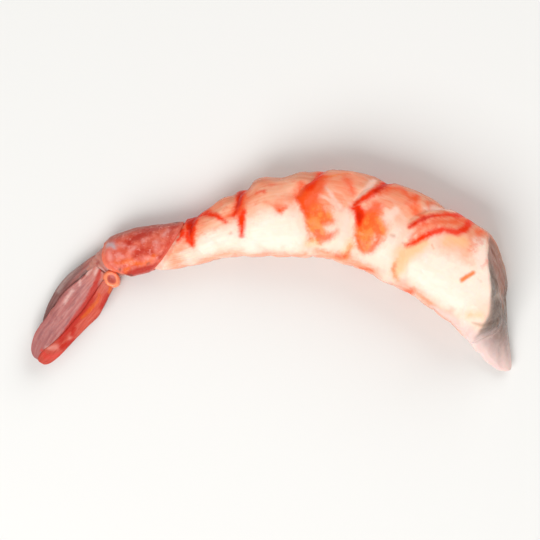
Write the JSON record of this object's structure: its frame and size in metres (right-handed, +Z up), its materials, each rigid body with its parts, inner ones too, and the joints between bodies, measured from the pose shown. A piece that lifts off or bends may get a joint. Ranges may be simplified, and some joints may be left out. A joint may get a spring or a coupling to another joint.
{
  "type": "peeled raw prawn",
  "caption": "Peeled raw prawn lying on its side, curved, with red and orange marks along its back, and its tail shell and closed tail fan left on.",
  "frame": {"origin": "centre of the prawn's outline seen from above, at the level it lies on", "axes": "+X from the tail to the cut head end, +Y towards the back of the bend, +Z up out of the side that shows"},
  "size_m": [0.0956, 0.0398, 0.014],
  "materials": {
    "raw_flesh": "wet, slightly translucent raw flesh with red and orange marks",
    "tail_shell": "thin wet shell, mottled red and pink",
    "tail_fan": "thin ribbed blades, mauve pink with red edges"
  },
  "bodies": {
    "root": {"flesh": "raw_flesh", "tail_shell": "tail_shell", "telson": "tail_fan", "uropod_near": "tail_fan", "uropod_far": "tail_fan"}
  },
  "joints": []
}
